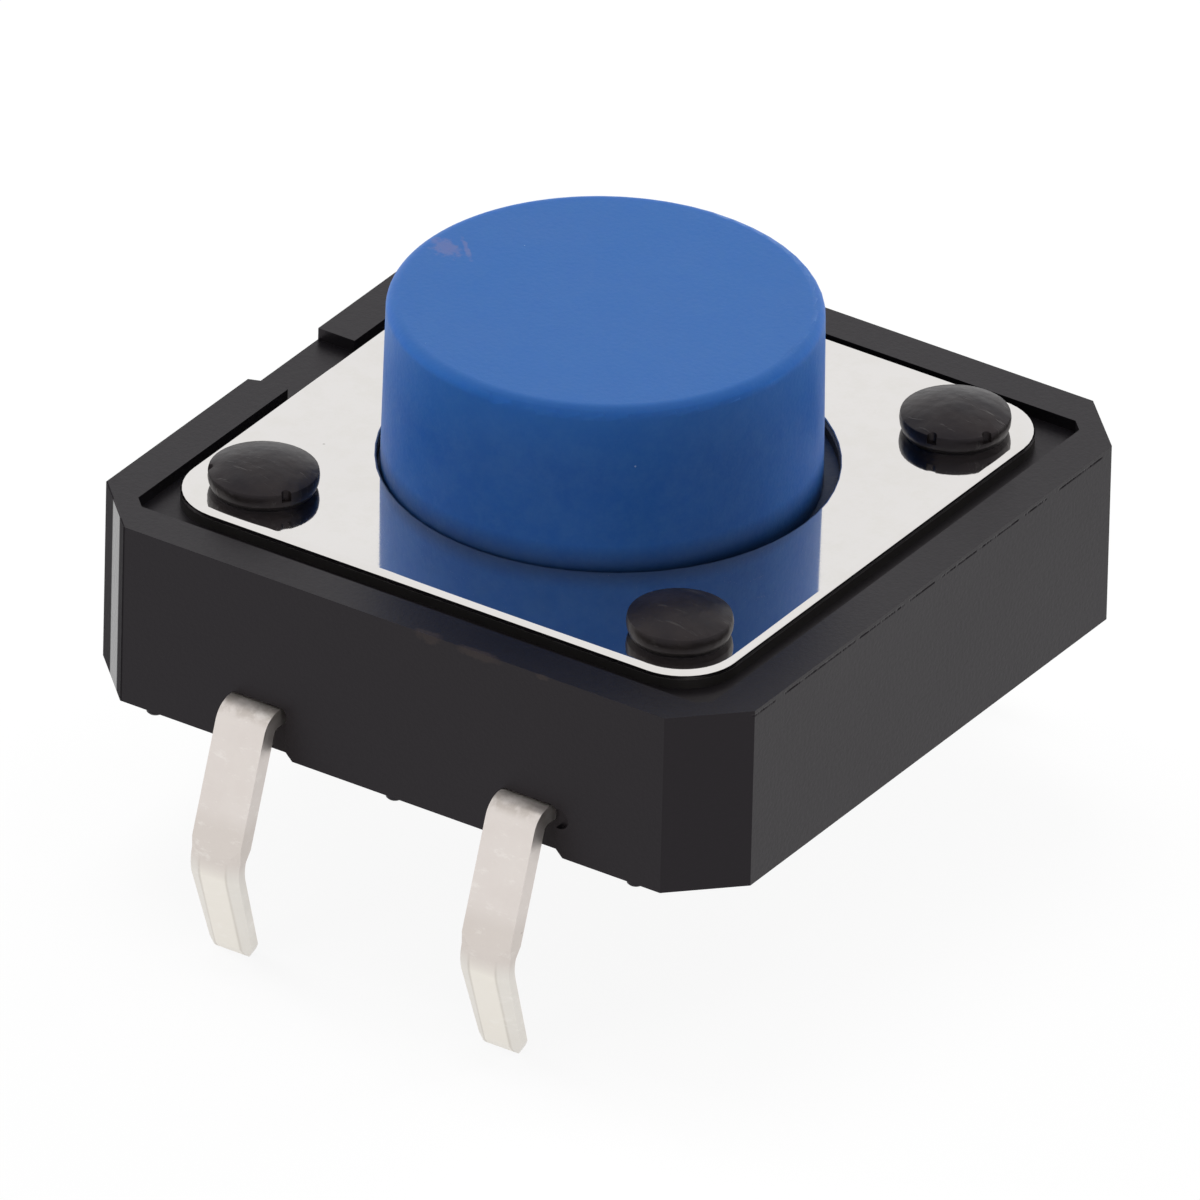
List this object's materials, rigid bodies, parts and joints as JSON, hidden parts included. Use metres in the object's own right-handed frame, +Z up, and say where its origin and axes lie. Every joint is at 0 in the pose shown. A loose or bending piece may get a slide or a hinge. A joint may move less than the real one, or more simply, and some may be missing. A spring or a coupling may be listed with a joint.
{
  "type": "tactile push button switch",
  "caption": "Through-hole tactile switch: square black housing with a staked steel cover, round blue sprung button, and kinked snap-in terminals on two sides.",
  "frame": {"origin": "middle of the housing's underside, which sits on the circuit board", "axes": "+Z up, the way the button faces and away from the board; the terminals leave the -Y and +Y sides; +X is to the right seen from the -Y side"},
  "size_m": [0.012, 0.0142, 0.0093],
  "materials": {
    "housing": "fine satin, glass-filled black moulding",
    "cover_plate": "bright rolled stainless sheet",
    "button": "satin blue moulding",
    "contact_dome": "silvered spring steel",
    "terminals": "matt tin plate"
  },
  "bodies": {
    "base": {"housing": "housing", "cover_plate": "cover_plate", "contact_dome": "contact_dome", "common_frame": "terminals", "signal_frame": "terminals"},
    "button": {"button": "button"}
  },
  "joints": [
    {"name": "press", "type": "slide", "parent": "base", "child": "button", "axis": [0, 0, -1], "range_m": [0, 0.0003], "stiffness_N_per_m": 1500, "springref_m": -0.001, "deforming": ["contact_dome"]}
  ]
}
